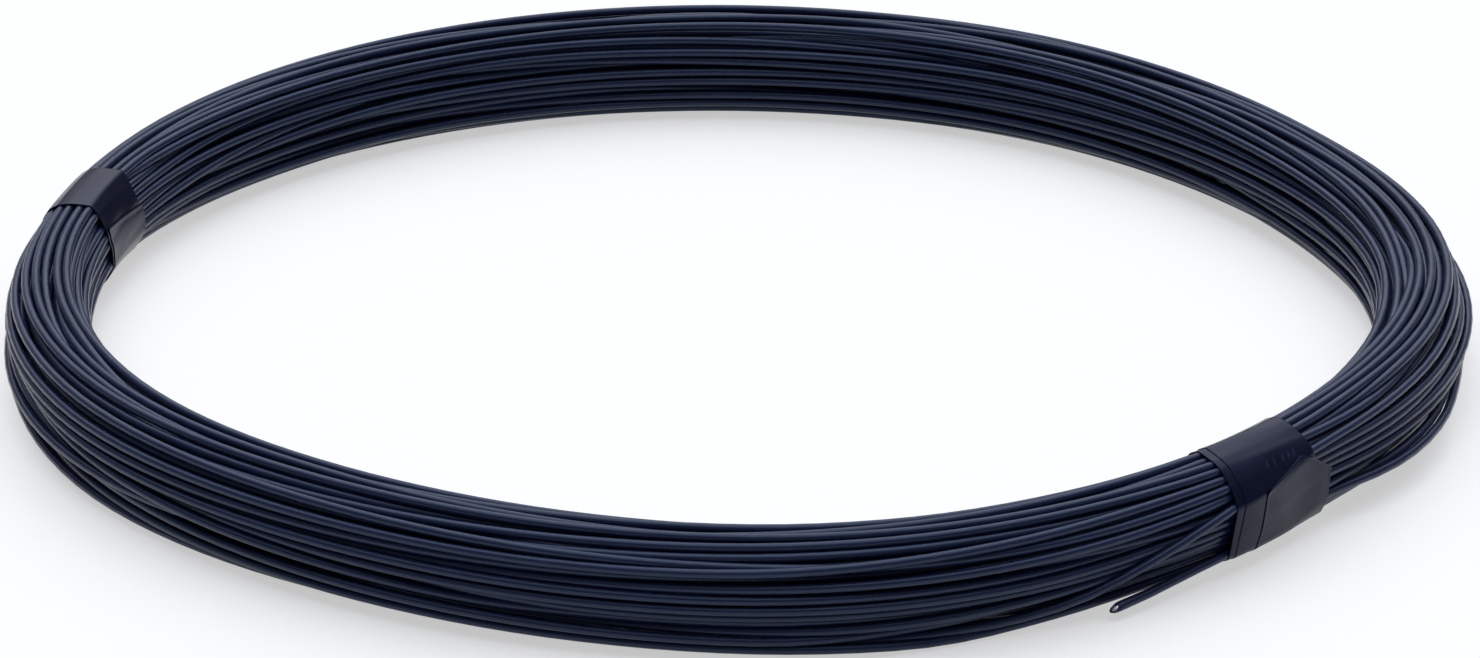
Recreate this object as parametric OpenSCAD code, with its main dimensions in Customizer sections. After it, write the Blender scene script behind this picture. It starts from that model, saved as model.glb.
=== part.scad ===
// Coil of plastic-coated fence wire, lying flat and held by two wraps of tape.
// Millimetres, +Z up. The origin is on the coil's axis, on the plane it lies on.
// Azimuths are counted from +X towards +Y.

/* [Wire] */
// Outside diameter of the coated wire
wire_d = 3.1; // [2:0.1:5]
// Length of the free end that stands clear of the front tape
free_end_len = 50; // [20:1:90]
// Angle at which the free end springs away from the coil
free_end_splay = 8; // [5:1:15]

/* [Coil] */
// Outside diameter over the turns
coil_od = 500; // [350:1:700]
// Width of the bundle of turns, from the bore to the outside
bundle_w = 33.5; // [25:0.5:50]
// Height of the bundle of turns as it lies
bundle_h = 39.5; // [25:0.5:60]
// Radius of the bundle's rounded shoulders
shoulder_r = 14; // [8:0.5:25]

/* [Tape] */
// Width of the tape
tape_w = 35; // [20:1:60]
// Thickness of one lap of tape
tape_t = 0.3; // [0.15:0.05:0.8]
// Play between the tape and the crests of the turns
tape_play = 0.2; // [0.1:0.05:0.3]
// Azimuth of the middle of the front tape's top lap
front_tape_azimuth = -45; // [-60:1:-20]
// Width of the front tape's under lap that shows beside the top lap
front_lap_step = 12; // [4:1:18]
// Depth to which the top lap presses into the lap under it
lap_press = 0.05; // [0.02:0.01:0.1]
// Azimuth of the middle of the back tape
back_tape_azimuth = 165.5; // [120:0.5:200]

/* [Hidden] */
$fn = 96;

wire_colour = "#2b3040";
tape_colour = "#23262f";

// Share of the wire's diameter between neighbouring turns of the outer layer
turn_pitch = 0.97;
// Length of the free end's root inside the bundle
free_end_root = 5 * wire_d;
// Place of the free end's root round the lower outer shoulder, below the level
free_end_clock = 45;
// Sides of the free end's round
free_end_sides = 12;

mean_r = (coil_od - bundle_w) / 2;

// The inner faces of the tape's first lap and of the lap over it, outwards from the turns
first_lap = tape_play;
second_lap = first_lap + tape_t - lap_press;
// The coil lies on the front tape's second lap
bundle_mid_z = second_lap + tape_t + bundle_h / 2;

// A thin bundle limits its shoulders, which leave a flat of at least one wire on each side
bundle_r = min(shoulder_r, (bundle_w - wire_d) / 2, (bundle_h - wire_d) / 2);
flat_w = bundle_w - 2 * bundle_r;
flat_h = bundle_h - 2 * bundle_r;

// The line that the outer turns' centres follow: a rounded rectangle
centre_r = bundle_r - wire_d / 2;
quarter = PI * centre_r / 2;
half_round = flat_h + flat_w + 2 * quarter;
turns_shown = 2 * ceil(half_round / (wire_d * turn_pitch));

// Angles in degrees that a width takes up round the coil, and a length round a shoulder
function span(width) = width / mean_r * 180 / PI;
function arc_angle(length) = length / centre_r * 180 / PI;

// Point at a length along the first half of the centre line, from the foot of its outer flat
function half_point(s) =
    s < flat_h ? [flat_w / 2 + centre_r, s - flat_h / 2] :
    s < flat_h + quarter ?
        let (a = arc_angle(s - flat_h)) [flat_w / 2 + centre_r * cos(a), flat_h / 2 + centre_r * sin(a)] :
    s < flat_h + quarter + flat_w ? [flat_w / 2 - (s - flat_h - quarter), flat_h / 2 + centre_r] :
        let (a = arc_angle(s - flat_h - quarter - flat_w))
            [-flat_w / 2 - centre_r * sin(a), flat_h / 2 + centre_r * cos(a)];

// Centre of the outer layer's turn number i; the second half mirrors the first
function turn_centre(i) =
    let (s = i * 2 * half_round / turns_shown)
        s < half_round ? half_point(s) : -half_point(s - half_round);

// Section of the bundle, its outline moved outwards by grow
module bundle_section(grow) {
    translate([mean_r, bundle_mid_z]) {
        square([flat_w, bundle_h + 2 * grow], center = true);
        square([bundle_w + 2 * grow, flat_h], center = true);
        for (x = [-1, 1], y = [-1, 1])
            translate([x * flat_w / 2, y * flat_h / 2]) circle(bundle_r + grow);
    }
}

// The bundle with every turn of its outer layer standing out as a round
module turns_section() {
    bundle_section(-wire_d / 2);
    translate([mean_r, bundle_mid_z])
        for (i = [0 : turns_shown - 1])
            translate(turn_centre(i)) circle(d = wire_d);
}

// The wire's cut end: a straight length that leaves the lower outer shoulder at the front tape's edge
module free_end() {
    root_r = mean_r + flat_w / 2 + centre_r * cos(free_end_clock);
    root_z = bundle_mid_z - flat_h / 2 - centre_r * sin(free_end_clock);
    rotate([0, 0, front_tape_azimuth - span(tape_w) / 2])
        translate([root_r, 0, root_z])
            rotate([90, 0, free_end_splay])
                translate([0, 0, -free_end_root])
                    cylinder(h = free_end_root + free_end_len, d = wire_d, $fn = free_end_sides);
}

// One lap of tape: a closed band round the bundle, centred on an azimuth
module tape_lap(azimuth, inner_face) {
    rotate([0, 0, azimuth - span(tape_w) / 2])
        rotate_extrude(angle = span(tape_w))
            difference() {
                bundle_section(inner_face + tape_t);
                bundle_section(inner_face);
            }
}

module wire_coil() {
    color(wire_colour) {
        rotate_extrude() turns_section();
        free_end();
    }
}

// Two laps, the first shifted to the side so that a strip of it shows beside the second
module tape_front() {
    color(tape_colour) {
        tape_lap(front_tape_azimuth + span(front_lap_step), first_lap);
        tape_lap(front_tape_azimuth, second_lap);
    }
}

module tape_back() {
    color(tape_colour) tape_lap(back_tape_azimuth, first_lap);
}

wire_coil();
tape_front();
tape_back();
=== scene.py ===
"""Looks of a tied coil of plastic-coated fence wire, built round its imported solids.

Lengths are millimetres until a mesh is made. Azimuths are degrees from +X towards +Y.
A point of the bundle is given by its azimuth, its distance outwards from the ring's mean line
and its height. The wire is one continuous tube: its turns are laid out over the bundle's section
and pushed apart slice by slice until hardly any overlap. The tapes are stretched over the result.
"""
import math
from collections import namedtuple

import bpy
import numpy as np
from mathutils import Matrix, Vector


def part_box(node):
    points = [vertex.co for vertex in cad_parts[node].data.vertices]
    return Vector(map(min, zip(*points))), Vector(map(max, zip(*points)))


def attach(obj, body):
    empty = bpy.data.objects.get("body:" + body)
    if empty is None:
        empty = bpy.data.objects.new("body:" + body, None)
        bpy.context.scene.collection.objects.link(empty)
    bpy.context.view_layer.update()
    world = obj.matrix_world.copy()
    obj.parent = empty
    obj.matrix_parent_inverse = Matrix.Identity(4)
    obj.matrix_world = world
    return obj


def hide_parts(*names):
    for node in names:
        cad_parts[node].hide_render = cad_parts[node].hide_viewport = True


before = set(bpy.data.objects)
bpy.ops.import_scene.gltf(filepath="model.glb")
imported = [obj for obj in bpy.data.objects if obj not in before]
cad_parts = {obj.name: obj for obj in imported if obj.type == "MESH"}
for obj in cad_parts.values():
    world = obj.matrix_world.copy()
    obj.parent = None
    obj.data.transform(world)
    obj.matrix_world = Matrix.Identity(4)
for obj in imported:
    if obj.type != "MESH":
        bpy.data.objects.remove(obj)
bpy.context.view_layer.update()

MILLIMETRE = 0.001
SEED = 7
# A distance at which nothing touches
FAR = 1e4

# Wire: sizes, and how finely its tube is cut
WIRE_D = 3.1
WIRE_R = WIRE_D / 2
TURNS = 68
RINGS_PER_TURN = 140
WIRE_SIDES = 10
STEP = 360 / RINGS_PER_TURN

# Places round the ring. The wire's inner end lies under the back tape.
FRONT_TIE = -44
BACK_TIE = 165.5
INNER_END = 166.2
FREE_TIP = -60.6
RING_COUNT = round(((TURNS - 1) * 360 + INNER_END - FREE_TIP) / STEP) + 1
FULL_COUNT = TURNS * RINGS_PER_TURN

# Bundle
BUNDLE_W = 33.5
coil_low, coil_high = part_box("wire_coil")
OUTER_R = coil_high.y / MILLIMETRE
MEAN_R = OUTER_R - BUNDLE_W / 2
BUNDLE_H = (coil_high.z - coil_low.z) / MILLIMETRE
MID_Z = (coil_high.z + coil_low.z) / 2 / MILLIMETRE
SECTION_POWER = 3.2

# The ring's mean line is an oval, by shares of its radius, with humps of (outwards, azimuth, half width)
OVAL_ALONG = 0.0048
OVAL_ASKEW = 0.0099
RIGHT_HUMPS = ((2.4, -3, 34), (-2.0, 34, 34))
LEFT_HUMPS = ((1.6, 200, 36), (-1.0, 170, 24))
FRONT_HUMPS = ((2.0, -76, 26), (-3.0, -118, 34))

# The bundle spreads at the ring's two ends and slumps behind the right one: humps of
# (amount, azimuth, half width). A tie grips it fully near its middle, and not at all beyond its reach.
SPREADS = ((1.4, -1, 30), (1, 208, 36))
SLUMPS = ((1, 24, 30),)
GRIP_HELD = 5
GRIP_REACH = 34

# The section's shares of the bundle's width and height, and its centre's moves outwards and upwards:
# where it is free, and what each tie, a spread and a slump add
Shape = namedtuple("Shape", "width height out rise", defaults=(0, 0, 0, 0))
FREE = Shape(width=0.98, height=0.99, rise=-0.75)
FRONT = Shape(width=-0.14, height=-0.11, out=-0.8, rise=2.5)
BACK = Shape(width=-0.18, height=-0.17, out=-1.4, rise=1.0)
SPREAD = Shape(width=0.08, out=1.5)
SLUMP = Shape(height=-0.05, rise=-0.6)

# Faces that press the bundle, by points of (outwards, height). Under the front tape its outer side is
# flat below and round above, with a ridge between, and right of the tape its underside is lifted.
FLAT_FOOT = (5.3, 7.5)
RIDGE_AZIMUTH = (-49.4, -47.6, -45.8, -43.8, -41.7)
RIDGE_OUT = (11.3, 11.2, 10.6, 9.3, 7.5)
RIDGE_HEIGHT = (26.8, 27.2, 28.1, 30.1, 32.2)
ROUND_CENTRE = (-10.1, 15.4)
ROUND_R = 24.3
LIFT_FOOT = (-0.6, 5.0)
LIFT_TOP = (9.0, 12.0)
# Corners of the bundle's inner side under the back tape, from the top down
INNER_CORNERS = ((-7.5, 36.0), (-12.4, 24.0), (-13.3, 14.5), (-6.0, 3.5))
# Room that each face leaves the wires, by degrees from the middle of its tape
FLAT_ROOM = ((-60, -41, -31, -19, -6, 6.5, 9, 12, 15, 24), (30, 9.5, 6, 2.5, 0, 0, 3, 6.5, 9.5, 30))
ROUND_ROOM = ((-60, -34, -20, -6, 6, 20, 34, 60), (30, 8.5, 4, 0, 0, 4, 8.5, 30))
LIFT_ROOM = ((0, 5, 7.5, 10, 13.3, 17, 20, 24, 31, 40), (30, 5, 2.5, 1.2, 3.3, 5.5, 7, 8.5, 15, 30))
INNER_ROOM = ((5, 12, 20, 40), (0, 1.5, 5, 30))

# Stretches of single turns that are led along given stops of (azimuth, outwards, height). Each joins
# the other turns over a fade of so many degrees at its ends.
CROSSING_TURN = TURNS - 4
CROSSING_FADE = 30
CROSSING_STOPS = (
    (-100, 8.0, 3.2), (-84, 7.2, 3.8), (-76, 6.9, 4.6), (-71, 7.0, 5.2), (-67, 7.4, 6.4),
    (-63.2, 8.6, 8.9), (-60, 10.2, 13.5), (-56.8, 11.4, 18.3), (-53, 11.1, 22.5), (-49.4, 10.0, 26.2),
    (-45.8, 9.1, 27.4), (-43.8, 7.8, 29.2), (-41.7, 6.1, 31.0), (-38, 6.4, 31.6), (-33, 7.6, 32.0),
    (-20, 10.2, 32.2), (-6, 11.0, 32.0), (10, 12.0, 31.4), (26, 12.8, 30.8),
)
BACKING_TURN = TURNS - 3
BACKING_FADE = 20
BACKING_STOPS = (
    (-66, 1.0, 9.0), (-50, 0.6, 10.5), (-44, 0.8, 11.4), (-37, 1.8, 11.6), (-34, 4.2, 11.6),
    (-32.6, 6.6, 11.6), (-30.8, 8.7, 11.9), (-28.8, 10.4, 12.2), (-26.4, 11.7, 12.6),
    (-23.3, 12.5, 12.8), (-19, 12.5, 12.8), (-13, 10.6, 12.6), (-4, 9.8, 12.4), (14, 9.6, 12.0),
)
BULGE_TURN = TURNS - 2
BULGE_FADE = 20
BULGE_STOPS = (
    (-106, 9.6, 12.8), (-88, 9.3, 12.8), (-78, 8.0, 12.6), (-68, 6.0, 12.4), (-60, 4.9, 12.3),
    (-50, 4.4, 12.2), (-44, 4.8, 12.2), (-37, 5.8, 12.0), (-34, 8.2, 12.0), (-32.6, 10.6, 12.0),
    (-30.8, 12.4, 12.0), (-28.8, 13.9, 12.0), (-26.4, 15.0, 12.0), (-23.3, 15.7, 12.0),
    (-19, 15.6, 12.0), (-16, 14.6, 11.8), (-13, 13.6, 11.6), (-4, 12.9, 11.4), (14, 12.9, 11.4),
)
LED_TURNS = (
    (CROSSING_TURN, CROSSING_STOPS, CROSSING_FADE),
    (BULGE_TURN, BULGE_STOPS, BULGE_FADE),
    (BACKING_TURN, BACKING_STOPS, BACKING_FADE),
)
# From here on, over so many degrees, the crossing turn leaves its place at the top for one at the bottom
CROSSING_FROM = -30
CROSSING_RUN = 50

# The wire's last stretch is led under the front tape. Where it leaves the tape's edge it goes straight
# on, and splays outwards by so much over each run of so many degrees.
FREE_TURN = TURNS - 1
FREE_FROM = -2
FREE_FADE = 30
FREE_EDGE = -50
FREE_EDGE_OUT = 6.9
FREE_SPLAY = 0.6
FREE_SPLAY_RUN = 10
FREE_OUT = ((FREE_EDGE, -44, -38, -30, -18, -4), (FREE_EDGE_OUT, 6.0, 3.0, 2.0, 5.5, 9.0))
FREE_HEIGHT = ((FREE_TIP, FREE_EDGE, -44, -30, -18, -4), (4.3, 8.3, 8.6, 8.4, 10.5, 13.0))

# Laying of the turns: wanders of (smoothing in rings, amplitude), calmer round the ring's right end
WANDERS = ((22, 4.6), (9, 0.8))
CALM_SHARE = 0.92
CALM_MIDDLE = 0
CALM_HALF_WIDTH = 70
# Settling of the turns: stages of (steps, smoothing of the pushes in rings, spacing in diameters), and
# the shares of each push, of each move back inside the bounds and of the wire's own stiffness
STAGES = ((260, 4.0, 1.35), (120, 2.4, 1.2), (80, 1.2, 1.02))
PUSH_SHARE = 1.5
BOUND_SHARE = 0.7
STIFF_SHARE = 0.08
STIFF_SMOOTHING = 2.5
LAST_SMOOTHING = 0.7

# Tape: its width, the height that a lap takes up, the film's share of that, and its gap to the wires
TAPE_W = 35
TAPE_T = 0.2
FILM_SHARE = 0.9
TAPE_CLEAR = 0.05
WAVE_HEIGHT = 0.03
# Its outer end lifts over so many degrees, and its edges, by shares of its width, lift in the last lap
END_LIFT = 0.45
END_LIFT_ANGLE = 7
EDGE_LIFT = 0.08
EDGE_FROM = 0.46
EDGE_SHARE = 0.04


def away(azimuth, centre):
    """Degrees from a centre to an azimuth, from -180 to 180."""
    return (np.asarray(azimuth, float) - centre + 180) % 360 - 180


def smooth_step(x):
    """Rises smoothly from 0 to 1 as x does."""
    x = np.clip(x, 0, 1)
    return x * x * (3 - 2 * x)


def hump(azimuth, centre, half_width):
    """A smooth hump of height 1."""
    return 1 - smooth_step(np.abs(away(azimuth, centre)) / half_width)


def humps(azimuth, rows):
    """A sum of humps, from rows of (height, centre, half width)."""
    return sum(height * hump(azimuth, centre, half_width) for height, centre, half_width in rows)


def grip(azimuth, tie):
    """How far a tie gathers the bundle: 1 under its tape, 0 well away from it."""
    return 1 - smooth_step((np.abs(away(azimuth, tie)) - GRIP_HELD) / (GRIP_REACH - GRIP_HELD))


def unit(vectors):
    """Vectors at length 1."""
    return vectors / np.linalg.norm(vectors, axis=-1, keepdims=True)


def smooth_along(values, sigma):
    """Gaussian mean along the first axis, with sigma counted in its steps."""
    reach = math.ceil(3 * sigma)
    offsets = np.arange(-reach, reach + 1)
    kernel = np.exp(-0.5 * (offsets / sigma) ** 2)
    kernel /= kernel.sum()
    padded = np.pad(values, ((reach, reach), (0, 0)), mode="edge")
    return np.stack([np.convolve(v, kernel, mode="valid") for v in padded.T], axis=1)


def ring_radius(azimuth):
    """The ring's mean line: the coil lies a little out of round."""
    a = np.radians(azimuth)
    oval = MEAN_R * (1 + OVAL_ALONG * np.cos(2 * a) - OVAL_ASKEW * np.sin(2 * a))
    return oval + humps(azimuth, RIGHT_HUMPS) + humps(azimuth, LEFT_HUMPS) + humps(azimuth, FRONT_HUMPS)


def in_space(azimuth, points):
    """Places in the part's frame, still in millimetres."""
    a = np.radians(azimuth)
    r = ring_radius(azimuth) + points[..., 0]
    return np.stack([r * np.cos(a), r * np.sin(a), points[..., 1]], axis=-1)


def section(azimuth):
    """Half width, half height and centre of the bundle's section."""
    front = grip(azimuth, FRONT_TIE)
    back = grip(azimuth, BACK_TIE)
    spread = humps(azimuth, SPREADS)
    slump = humps(azimuth, SLUMPS)
    width = FREE.width + FRONT.width * front + BACK.width * back + SPREAD.width * spread
    height = FREE.height + FRONT.height * front + BACK.height * back + SLUMP.height * slump
    mid_u = SPREAD.out * spread + FRONT.out * front + BACK.out * back
    mid_z = MID_Z + FREE.rise + FRONT.rise * front + BACK.rise * back + SLUMP.rise * slump
    return BUNDLE_W / 2 * width, BUNDLE_H / 2 * height, mid_u, mid_z


def inside(points, half_w, half_h, mid_u, mid_z):
    """Moves that bring the wire's centres back inside the section."""
    p = (points[..., 0] - mid_u) / (half_w - WIRE_R)
    q = (points[..., 1] - mid_z) / (half_h - WIRE_R)
    size = (np.abs(p) ** SECTION_POWER + np.abs(q) ** SECTION_POWER) ** (1 / SECTION_POWER)
    back = 1 / np.maximum(size, 1) - 1
    return np.stack([(points[..., 0] - mid_u) * back, (points[..., 1] - mid_z) * back], axis=-1)


class Press:
    """The faces that press the bundle at its ties, each with room that grows aside."""

    def __init__(self, azimuth):
        around = away(azimuth, 0)
        ridge = np.stack([np.interp(around, RIDGE_AZIMUTH, RIDGE_OUT),
                          np.interp(around, RIDGE_AZIMUTH, RIDGE_HEIGHT)], axis=-1)
        aside = away(azimuth, FRONT_TIE)
        inner_room = np.interp(np.abs(away(azimuth, BACK_TIE)), *INNER_ROOM)
        faces = [(FLAT_FOOT, ridge, np.interp(aside, *FLAT_ROOM))]
        faces.append((LIFT_FOOT, LIFT_TOP, np.interp(aside, *LIFT_ROOM)))
        faces += [(start, end, inner_room) for start, end in zip(INNER_CORNERS, INNER_CORNERS[1:])]
        self.flats = []
        for start, end, room in faces:
            run = np.asarray(end) - np.asarray(start)
            normal = unit(np.stack([run[..., 1], -run[..., 0]], axis=-1))
            self.flats.append((np.asarray(start), normal, room))
        self.round_room = np.interp(aside, *ROUND_ROOM)

    def moves(self, points):
        """Moves that bring the wire's centres back behind the faces."""
        spokes = points - np.array(ROUND_CENTRE)
        beyond = np.linalg.norm(spokes, axis=1) + WIRE_R - ROUND_R - self.round_room
        moves = -unit(spokes) * np.maximum(beyond, 0)[:, None]
        for start, normal, room in self.flats:
            beyond = ((points - start) * normal).sum(1) + WIRE_R - room
            moves = moves - normal * np.maximum(beyond, 0)[:, None]
        return moves


def free_end_route(azimuth):
    """The cut end springs straight out from under the front tape."""
    turned = np.maximum(FREE_EDGE - azimuth, 0)
    straight = (ring_radius(FREE_EDGE) + FREE_EDGE_OUT) / np.cos(np.radians(turned))
    straight = straight + FREE_SPLAY * turned / FREE_SPLAY_RUN
    tucked = np.interp(azimuth, *FREE_OUT)
    u = np.where(azimuth < FREE_EDGE, straight - ring_radius(azimuth), tucked)
    return np.stack([u, np.interp(azimuth, *FREE_HEIGHT)], axis=-1)


class Leads:
    """Stretches of the wire that follow a route of their own."""

    def __init__(self, azimuth):
        self.azimuth = azimuth
        self.hold = np.zeros(len(azimuth))
        self.route = np.zeros((len(azimuth), 2))
        for turn, stops, fade in LED_TURNS:
            self.lead(turn, stops, fade)
        self.lead_free_end()

    def lead(self, turn, stops, fade):
        """One turn follows given stops, and joins the others over a fade at each end."""
        at, out, height = np.array(stops).T
        around = self.azimuth + turn * 360
        led = (around > at[0]) & (around < at[-1])
        around = around[led]
        self.hold[led] = smooth_step((around - at[0]) / fade) * smooth_step((at[-1] - around) / fade)
        self.route[led] = np.stack([np.interp(around, at, out), np.interp(around, at, height)], axis=-1)

    def lead_free_end(self):
        """The last turn follows the free end's route, after a fade."""
        around = self.azimuth + FREE_TURN * 360
        led = around < FREE_FROM
        self.hold[led] = smooth_step((FREE_FROM - around[led]) / FREE_FADE)
        self.route[led] = free_end_route(around[led])

    def pull(self, points):
        """The points, with the led ones drawn to their routes."""
        return points + (self.route - points) * self.hold[:, None]


def pushes(points, reach):
    """How far the overlapping discs in each slice push each other, for points[slice, disc]."""
    least_gap = 1e-3
    u = points[..., 0].astype(np.float32)
    z = points[..., 1].astype(np.float32)
    du = u[:, :, None] - u[:, None, :]
    dz = z[:, :, None] - z[:, None, :]
    gap = np.sqrt(du * du + dz * dz)
    gap += np.eye(points.shape[1], dtype=np.float32) * FAR
    share = np.maximum(reach - gap, 0) * (0.5 / np.maximum(gap, least_gap))
    return np.stack([(du * share).sum(2), (dz * share).sum(2)], axis=-1)


def in_slices(points):
    """The wire's points as points[slice, turn], with the rings that the last turn lacks set far away."""
    lacking = np.full((FULL_COUNT - RING_COUNT, 2), FAR)
    return np.vstack([points, lacking]).reshape(TURNS, RINGS_PER_TURN, 2).transpose(1, 0, 2)


def along_wire(slices):
    """The reverse of in_slices."""
    return slices.transpose(1, 0, 2).reshape(FULL_COUNT, 2)[:RING_COUNT]


def turn_places(rng):
    """Places of the turns in the section as shares of its halves, evenly spread and in winding order."""
    spacing = 4.35
    start_share = 0.8
    steps = 400
    push_share = 0.8
    column_count = 7
    swaps = 14
    swap_first = (2, TURNS - 18)
    swap_ahead = (2, 7)
    half_w = BUNDLE_W / 2
    half_h = BUNDLE_H / 2
    places = rng.uniform(-1, 1, (1, TURNS, 2)) * (start_share * half_w, start_share * half_h)
    for _ in range(steps):
        places += push_share * pushes(places, spacing)
        places += inside(places, half_w, half_h, 0, 0)
    places = places[0]

    # Columns from the inside out, wound downwards and upwards alternately, with some places swapped
    columns = np.array_split(np.argsort(places[:, 0]), column_count)
    order = []
    for number, column in enumerate(columns):
        upwards = column[np.argsort(places[column, 1])]
        order.extend(upwards if number % 2 else upwards[::-1])
    order = np.array(order)
    for _ in range(swaps):
        first = rng.integers(*swap_first)
        second = first + rng.integers(*swap_ahead)
        order[[first, second]] = order[[second, first]]

    # In the outer column the crossing turn has the top place, and the three after it the lowest ones
    last = columns[-1][np.argsort(-places[columns[-1], 1])]
    order[CROSSING_TURN:] = last[[0, -1, -2, -3]]
    order[TURNS - len(last):CROSSING_TURN] = last[1:-3]
    return places[order] / (half_w, half_h)


def wander(rng, sigma, amplitude):
    """Smooth random offsets along the wire."""
    noise = smooth_along(rng.standard_normal((RING_COUNT, 2)), sigma)
    return amplitude * noise / noise.std()


def laid_wire(rng, azimuth, bounds):
    """The wire before it settles: each turn passes smoothly from its place to the next one's."""
    half_w, half_h, mid_u, mid_z = bounds
    index = np.arange(RING_COUNT)
    turn = index // RINGS_PER_TURN
    places = turn_places(rng)
    places = np.vstack([places, places[-1:]])
    along = smooth_step(index % RINGS_PER_TURN / RINGS_PER_TURN)
    crossing = turn == CROSSING_TURN
    passed = CROSSING_FROM - azimuth[crossing] - CROSSING_TURN * 360
    along[crossing] = smooth_step(passed / CROSSING_RUN)
    along = along[:, None]
    place = places[turn] * (1 - along) + places[turn + 1] * along
    points = place * np.stack([half_w, half_h], axis=1) + np.stack([mid_u, mid_z], axis=1)
    calm = 1 - CALM_SHARE * hump(azimuth, CALM_MIDDLE, CALM_HALF_WIDTH)[:, None]
    for sigma, amplitude in WANDERS:
        points += wander(rng, sigma, amplitude) * calm
    return points


def wound_wire():
    """Centres of the wire's rings, as azimuth and points of (outwards, height)."""
    azimuth = INNER_END - np.arange(RING_COUNT) * STEP
    bounds = section(azimuth)
    press = Press(azimuth)
    leads = Leads(azimuth)
    points = laid_wire(np.random.default_rng(SEED), azimuth, bounds)
    for steps, sigma, spacing in STAGES:
        for _ in range(steps):
            push = PUSH_SHARE * along_wire(pushes(in_slices(points), WIRE_D * spacing))
            push = push + BOUND_SHARE * inside(points, *bounds)
            push += BOUND_SHARE * press.moves(points)
            push[:, 1] += np.maximum(WIRE_R - points[:, 1] - push[:, 1], 0)
            points += smooth_along(push, sigma)
            points += STIFF_SHARE * (smooth_along(points, STIFF_SMOOTHING) - points)
            points = leads.pull(points)
    points = smooth_along(points, LAST_SMOOTHING)
    overlap = 2 * np.linalg.norm(pushes(in_slices(points), WIRE_D), axis=-1)
    print("wire overlap left, mm: most", overlap.max(), "mean", overlap.mean())
    return azimuth, points


def link(name, vertices, faces, materials):
    """A smooth mesh object from vertices in millimetres."""
    mesh = bpy.data.meshes.new(name)
    mesh.from_pydata((np.asarray(vertices) * MILLIMETRE).tolist(), [], faces)
    mesh.polygons.foreach_set("use_smooth", [True] * len(mesh.polygons))
    for material in materials:
        mesh.materials.append(material)
    mesh.update()
    piece = bpy.data.objects.new(name, mesh)
    bpy.context.scene.collection.objects.link(piece)
    return piece


def tube_rings(centres, radii, sides):
    """Rings of vertices round a line of centres, with no twist against the upright."""
    tangent = unit(np.gradient(centres, axis=0))
    upright = np.array([0.0, 0.0, 1.0])
    side = unit(np.cross(tangent, upright))
    top = np.cross(side, tangent)
    turn = np.arange(sides) * 2 * math.pi / sides
    spokes = np.cos(turn)[None, :, None] * side[:, None] + np.sin(turn)[None, :, None] * top[:, None]
    return centres[:, None] + np.asarray(radii)[:, None, None] * spokes


def cut_tip(last_ring, centre, ahead):
    """Rings of the cut end: the coating is pinched in, and the cut is slanted towards the front."""
    lengths = (0.8, 1.6, 2.4, 3.0)
    shares = (0.99, 0.94, 0.85, 0.70)
    slant = 1.4
    core_share = 0.62
    core_proud = 0.12
    proud_share = 0.8
    front = np.array([-0.3, -0.8, 0.8])
    front = unit(front - ahead * (front @ ahead))
    spokes = last_ring - centre
    rings = []
    for length, share in zip(lengths, shares):
        spread = spokes * share
        tilt = slant * length / lengths[-1] * (spread @ front)
        rings.append(centre + spread + (length - tilt)[:, None] * ahead)
    face_centre = rings[-1].mean(0)
    core = face_centre + (rings[-1] - face_centre) * core_share
    outwards = unit(ahead + slant * front)
    proud = face_centre + (core - face_centre) * proud_share + core_proud * outwards
    return rings, core, proud


def coil_wire(azimuth, points, coat, steel):
    """The whole wire as one tube, with its steel core showing at the cut end."""
    cut_swell = (1.03, 1.1)
    centres = in_space(azimuth, points)
    ahead = unit(centres[-1] - centres[-2])
    radii = np.full(len(centres), WIRE_R)
    radii[-len(cut_swell):] *= cut_swell
    rings = tube_rings(centres, radii, WIRE_SIDES)
    tip, core, proud = cut_tip(rings[-1], centres[-1], ahead)
    vertices = np.vstack([rings.reshape(-1, 3), *tip, core, proud])

    # Walls between the rings, the core's face, and the cap of the inner end
    count = len(rings) + len(tip)
    here = np.arange(WIRE_SIDES)
    after = (here + 1) % WIRE_SIDES
    faces = []
    for ring in range(count + 1):
        low = ring * WIRE_SIDES
        high = low + WIRE_SIDES
        faces.extend(zip(low + here, low + after, high + after, high + here))
    faces.append((count + 1) * WIRE_SIDES + here)
    faces.append(here[::-1])
    metal = np.zeros(len(faces), int)
    metal[count * WIRE_SIDES:-1] = 1
    piece = link("coil_wire", vertices, [tuple(map(int, f)) for f in faces], (coat, steel))
    piece.data.polygons.foreach_set("material_index", metal)
    length = np.linalg.norm(np.diff(centres, axis=0), axis=1).sum()
    print("wire length, m:", length * MILLIMETRE)
    return piece


def discs_at(points, azimuth):
    """Wire centres in the section at one azimuth."""
    at = (INNER_END - azimuth) % 360 / STEP + np.arange(-1, TURNS + 1) * RINGS_PER_TURN
    at = at[(at >= 0) & (at <= RING_COUNT - 1)]
    whole = np.minimum(at.astype(int), RING_COUNT - 2)
    part = (at - whole)[:, None]
    return points[whole] * (1 - part) + points[whole + 1] * part


def stretched(reach):
    """The tape bridges small dips across its width: the highest support nearby, smoothed."""
    window = 3
    blur_share = 0.8
    padded = np.pad(reach, ((window, window), (0, 0)), mode="edge")
    highest = np.max([padded[i:i + len(reach)] for i in range(2 * window + 1)], axis=0)
    return smooth_along(highest, window * blur_share)


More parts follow.
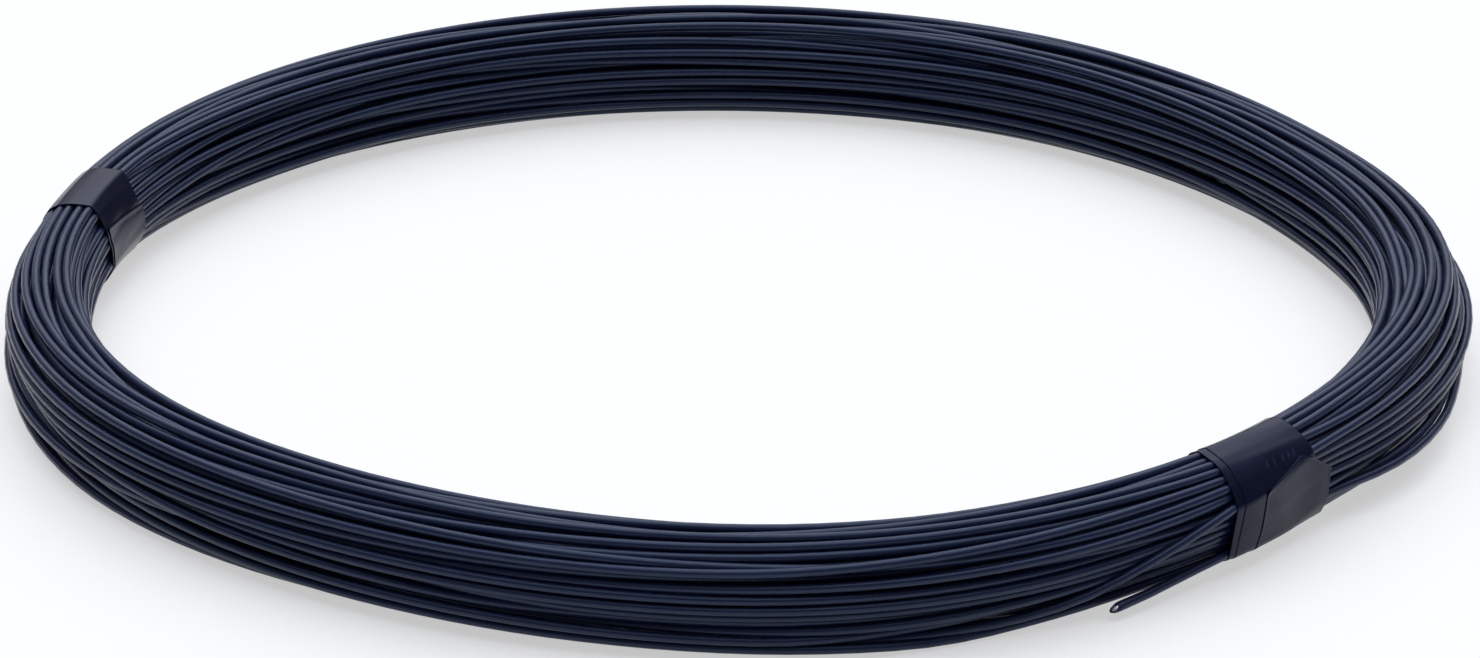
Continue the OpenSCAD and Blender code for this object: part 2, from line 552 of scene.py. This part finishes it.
def tape_hull(points, centre, azimuth, turn, sleeve):
    """How far a tape lies from the section's centre, by its azimuth and its turn round the section."""
    grid_count = 29
    facing_step = 2.0
    least_cosine = 0.15
    grid = np.linspace(azimuth.min(), azimuth.max(), grid_count)
    facing = np.radians(np.arange(0, 360, facing_step))
    normals = np.stack([np.cos(facing), np.sin(facing)])

    def reach_at(a):
        """How far the wires at one azimuth reach along each normal."""
        return ((discs_at(points, a) - centre) @ normals).max(0) + WIRE_R

    reach = stretched(np.array([np.maximum(reach_at(a), reach_at(np.clip(a, *sleeve))) for a in grid]))
    where = (azimuth - grid[0]) / (grid[1] - grid[0])
    low = np.clip(where.astype(int), 0, grid_count - 2)
    part = (where - low)[..., None]
    support = reach[low] * (1 - part) + reach[low + 1] * part
    cosine = np.cos(facing - turn[..., None])
    return np.where(cosine > least_cosine, support / np.maximum(cosine, least_cosine), FAR).min(-1)


def strip_faces(rows, columns):
    """Faces of a closed strip, whose upper vertices come row by row before its lower ones."""
    below = rows * columns
    row = np.arange(rows - 1)[:, None] * columns
    column = np.arange(columns - 1)[None, :]
    corner = (row + column).ravel()
    top = np.stack([corner, corner + 1, corner + columns + 1, corner + columns], axis=1)
    bottom = top[:, ::-1] + below
    border = np.concatenate([
        np.arange(columns - 1),
        np.arange(rows - 1) * columns + columns - 1,
        np.arange(rows * columns - 1, (rows - 1) * columns, -1),
        np.arange(rows - 1, 0, -1) * columns,
    ])
    after = np.roll(border, -1)
    sides = np.stack([after, border, border + below, after + below], axis=1)
    return np.vstack([top, bottom, sides])


def tape_sheet(name, points, material, tie, columns, path, shifts, end, relief,
               sleeve=(-math.inf, math.inf)):
    """A strip of tape wound round the bundle over the hull of its wires.

    columns counts the vertices across it, and path is its first and last angle round the section.
    shifts gives the strip's middle by that angle, end gives the angle at which it stops by azimuth, and
    relief gives the height of its waves and creases. Beyond the two azimuths of sleeve the tape stays as
    wide as it is there, and may stand off the wires.
    """
    row_angle = 3.0
    rows = int(abs(path[1] - path[0]) / row_angle) + 1
    across = np.linspace(-0.5, 0.5, columns)
    span = math.degrees(TAPE_W / MEAN_R)
    along = np.linspace(0, 1, rows)[:, None]
    stop = np.interp(np.interp(path[1], *shifts) + across * span, *end)
    angle = path[0] + along * (stop - path[0])
    azimuth = np.interp(angle, *shifts) + across * span
    turn = np.radians(angle)
    centre = np.array(section(tie)[2:])

    wound = np.abs(angle - path[0])
    left = np.abs(stop - angle)
    lap = TAPE_CLEAR + TAPE_T * wound / 360
    end_lift = END_LIFT * smooth_step(1 - left / END_LIFT_ANGLE)
    edge = smooth_step((np.abs(across) - EDGE_FROM) / EDGE_SHARE)
    edge_lift = EDGE_LIFT * edge * smooth_step(1 - left / 360)
    hull = tape_hull(points, centre, azimuth, turn, sleeve)
    under = hull + lap + end_lift + edge_lift + relief(angle, azimuth)

    def face(out):
        """Vertices of one face, by their distance from the section's centre."""
        sheet = np.stack([out * np.cos(turn), out * np.sin(turn)], axis=-1) + centre
        return in_space(azimuth, sheet).reshape(-1, 3)

    vertices = np.vstack([face(under + TAPE_T * FILM_SHARE), face(under)])
    faces = strip_faces(rows, columns)
    if path[1] < path[0]:
        faces = faces[:, ::-1]
    return link(name, vertices, faces.tolist(), (material,))


def wrinkles(angle, azimuth, seed):
    """Small waves in a tape, the same on every lap: a sum of sines with a mean square of about 1."""
    waves = 16
    round_counts = (2, 12)
    across_rates = (0.2, 1.0)
    rng = np.random.default_rng(seed)
    total = 0
    for _ in range(waves):
        round_count = rng.integers(*round_counts)
        across_rate = rng.uniform(*across_rates) * rng.choice((-1, 1))
        phase = rng.uniform(0, 2 * math.pi)
        total = total + np.sin(round_count * np.radians(angle) + across_rate * azimuth + phase)
    return total * math.sqrt(2 / waves)


def front_relief(angle, azimuth):
    """Faint waves, and a row of short leaning creases where the tape bends over the crossing turn."""
    seed = 3
    crease_azimuths = (-45.1, -44.3, -43.3, -42.6, -42.0)
    crease_height = 0.42
    crease_half = 0.09
    crease_lean = 0.027
    crease_angle = 54
    crease_reach = 6
    creased_from = 20
    creased_to = 200
    top_lap = (angle > creased_from) & (angle < creased_to)
    height = WAVE_HEIGHT * wrinkles(angle, azimuth, seed)
    for middle in crease_azimuths:
        offset = azimuth - middle - crease_lean * (angle - crease_angle)
        across = np.exp(-((offset / crease_half) ** 2))
        along = np.exp(-(((angle - crease_angle) / crease_reach) ** 2))
        height = height + crease_height * across * along * top_lap
    return height


def back_relief(angle, azimuth):
    """Waves that are deepest on the bundle's inner side, where the tape is drawn round its corner."""
    seed = 5
    inner_angle = 170
    inner_half_width = 45
    inner_gain = 4
    gain = 1 + inner_gain * hump(angle, inner_angle, inner_half_width)
    return WAVE_HEIGHT * wrinkles(angle, azimuth, seed) * gain


class Nodes:
    """A short way to build the nodes of a material or a world, up to the shader that it starts with."""

    RAMP_STOPS = (0.3, 0.7)

    def __init__(self, owner, shader):
        self.owner = owner
        owner.use_nodes = True
        self.tree = owner.node_tree
        self.shader = self.tree.nodes[shader]

    def set(self, socket, value):
        """Gives a socket a plain value, or links it to another node's output."""
        if isinstance(value, bpy.types.NodeSocket):
            self.tree.links.new(value, socket)
        else:
            socket.default_value = value

    def shade(self, name, value):
        """Sets one of the shader's own sockets."""
        self.set(self.shader.inputs[name], value)

    def add(self, kind, **inputs):
        """A new node, with its sockets set by name."""
        node = self.tree.nodes.new(kind)
        for key, value in inputs.items():
            self.set(node.inputs[key.replace("_", " ")], value)
        return node

    def compute(self, kind, operation, *values):
        """A new node of arithmetic, with its sockets set in order."""
        node = self.tree.nodes.new(kind)
        node.operation = operation
        for socket, value in zip(node.inputs, values):
            self.set(socket, value)
        return node.outputs

    def noise(self, place, scale, detail):
        """Cloudy noise round 0.5, with its scale in patches a metre."""
        return self.add("ShaderNodeTexNoise", Vector=place, Scale=scale, Detail=detail).outputs["Fac"]

    def ramp(self, factor, low, high):
        """A colour that goes from low to high over the middle of a noise."""
        node = self.add("ShaderNodeValToRGB", Fac=factor)
        for element, stop, colour in zip(node.color_ramp.elements, self.RAMP_STOPS, (low, high)):
            element.position = stop
            element.color = colour
        return node.outputs["Color"]

    def bump(self, height, strength, distance):
        """Roughens the shader's normal."""
        node = self.add("ShaderNodeBump", Strength=strength, Distance=distance, Height=height)
        self.shade("Normal", node.outputs["Normal"])


def new_material(name):
    """The nodes of a new material."""
    return Nodes(bpy.data.materials.new(name), "Principled BSDF")


def grey(value):
    """An opaque grey."""
    return (value, value, value, 1)


def coat_material():
    """Satin plastic coating, with faint cloudiness and rubbed patches."""
    n = new_material("wire_coating")
    place = n.add("ShaderNodeTexCoord").outputs["Object"]
    cloud = n.noise(place, scale=90.0, detail=3.0)
    n.shade("Base Color", n.ramp(cloud, (0.012, 0.0182, 0.057, 1), (0.0165, 0.024, 0.071, 1)))
    n.shade("Specular IOR Level", 0.42)
    n.shade("Specular Tint", (0.65, 0.81, 1, 1))
    rubbed = n.noise(place, scale=420.0, detail=2.0)
    n.shade("Roughness", n.ramp(rubbed, grey(0.27), grey(0.36)))
    skin = n.noise(place, scale=1500.0, detail=2.0)
    n.bump(skin, strength=0.1, distance=0.0002)
    return n.owner


def tape_material():
    """Smooth dark tape with a soft gloss."""
    n = new_material("binding_tape")
    place = n.add("ShaderNodeTexCoord").outputs["Object"]
    cloud = n.noise(place, scale=60.0, detail=3.0)
    n.shade("Base Color", n.ramp(cloud, (0.0065, 0.0082, 0.025, 1), (0.009, 0.011, 0.032, 1)))
    n.shade("Specular IOR Level", 0.19)
    n.shade("Specular Tint", (0.44, 0.55, 1, 1))
    n.shade("Roughness", n.ramp(cloud, grey(0.20), grey(0.27)))
    wave = n.noise(place, scale=260.0, detail=2.0)
    n.bump(wave, strength=0.08, distance=0.0004)
    return n.owner


def steel_material():
    """Bright cut steel."""
    n = new_material("cut_steel")
    place = n.add("ShaderNodeTexCoord").outputs["Object"]
    cut = n.noise(place, scale=2500.0, detail=2.0)
    n.shade("Base Color", n.ramp(cut, grey(0.72), grey(0.88)))
    n.shade("Metallic", 1)
    n.shade("Roughness", n.ramp(cut, grey(0.35), grey(0.5)))
    return n.owner


def floor_material():
    """Pale floor that reads as white to the camera and in reflections, and keeps its shadows."""
    glow = 0.53
    n = new_material("pale_floor")
    n.shade("Base Color", grey(0.55))
    n.shade("Roughness", 0.9)
    n.shade("Specular IOR Level", 0.1)
    path = n.add("ShaderNodeLightPath").outputs
    seen = path["Is Camera Ray"]
    for other in ("Is Glossy Ray", "Is Transmission Ray"):
        seen = n.compute("ShaderNodeMath", "MAXIMUM", seen, path[other])["Value"]
    n.shade("Emission Color", grey(1))
    n.shade("Emission Strength", n.compute("ShaderNodeMath", "MULTIPLY", seen, glow)["Value"])
    return n.owner


def pale_floor():
    """A wide floor at the height that the coil lies on."""
    half = 30000
    corners = [(-half, -half, 0), (half, -half, 0), (half, half, 0), (-half, half, 0)]
    floor = link("floor", corners, [(0, 1, 2, 3)], (floor_material(),))


def studio_light():
    """A studio that is bright above and behind, and dark low down, aside and on the camera's side."""
    brightest = (0, 0.4, 1)
    dim_aside = -0.3
    n = Nodes(bpy.data.worlds.new("studio"), "Background")
    bpy.context.scene.world = n.owner
    direction = n.add("ShaderNodeTexCoord").outputs["Generated"]
    towards = n.compute("ShaderNodeVectorMath", "DOT_PRODUCT", direction, brightest)["Value"]
    folded = n.compute("ShaderNodeVectorMath", "ABSOLUTE", direction)["Vector"]
    aside = n.add("ShaderNodeSeparateXYZ", Vector=folded).outputs["X"]
    dimmed = n.compute("ShaderNodeMath", "MULTIPLY_ADD", aside, dim_aside, towards)["Value"]
    level = n.add("ShaderNodeMapRange", Value=dimmed, From_Min=0.4, From_Max=0.95,
                  To_Min=0.14, To_Max=1.9)
    level.interpolation_type = "SMOOTHSTEP"
    n.shade("Color", (0.95, 0.98, 1.05, 1))
    n.shade("Strength", level.outputs["Result"])


def camera():
    """The photograph's view, fitted to the ring's outline. The image is taken as 1480 by 658."""
    width_px = 1480
    focal_px = 6064.7
    shift_right_px = 9.0
    shift_up_px = -35.0
    radii_away = 8.983
    elevation = math.radians(22.946)
    distance = radii_away * MEAN_R * MILLIMETRE
    data = bpy.data.cameras.new("camera")
    data.sensor_width = 36
    data.lens = focal_px / width_px * data.sensor_width
    data.shift_x = shift_right_px / width_px
    data.shift_y = shift_up_px / width_px
    data.clip_start = 0.01
    data.clip_end = 200
    eye = bpy.data.objects.new("camera", data)
    eye_height = MID_Z * MILLIMETRE + distance * math.sin(elevation)
    eye.location = (0, -distance * math.cos(elevation), eye_height)
    eye.rotation_euler = (math.pi / 2 - elevation, 0, 0)
    bpy.context.scene.collection.objects.link(eye)
    bpy.context.scene.camera = eye


def ride_for(piece, node):
    """A piece that stands for a node of the part."""
    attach(piece, "root")
    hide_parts(node)


camera()
pale_floor()
studio_light()
bpy.context.scene.view_settings.view_transform = "Standard"

tape_look = tape_material()
ring_azimuth, wire_points = wound_wire()
wire = coil_wire(ring_azimuth, wire_points, coat_material(), steel_material())
ride_for(wire, "wire_coil")

front_tape = tape_sheet(
    "front_tape", wire_points, tape_look, FRONT_TIE, columns=141, path=(-500, 382),
    shifts=((-500, -330, -270, -180, -45, 10, 40, 90, 180, 270, 315, 412),
            (-45.2, -45.2, -45.1, -44.8, -44.5, -44.4, -44.3, -44.3, -43.6, -42.6, -42.0, -42.0)),
    end=((-46.3, -45.8, -43.8, -41.7, -40.3, -39, -38, -37.5),
         (382, 387, 398, 410, 401, 386, 372, 362)),
    relief=front_relief, sleeve=(-50, -41.6))
ride_for(front_tape, "tape_front")

back_tape = tape_sheet(
    "back_tape", wire_points, tape_look, BACK_TIE, columns=71, path=(713, 153),
    shifts=((150, 270, 330, 713), (165.1, 165.3, 165.6, 165.6)),
    end=((160, 165, 170), (162, 153, 144)),
    relief=back_relief)
ride_for(back_tape, "tape_back")

bpy.context.view_layer.update()
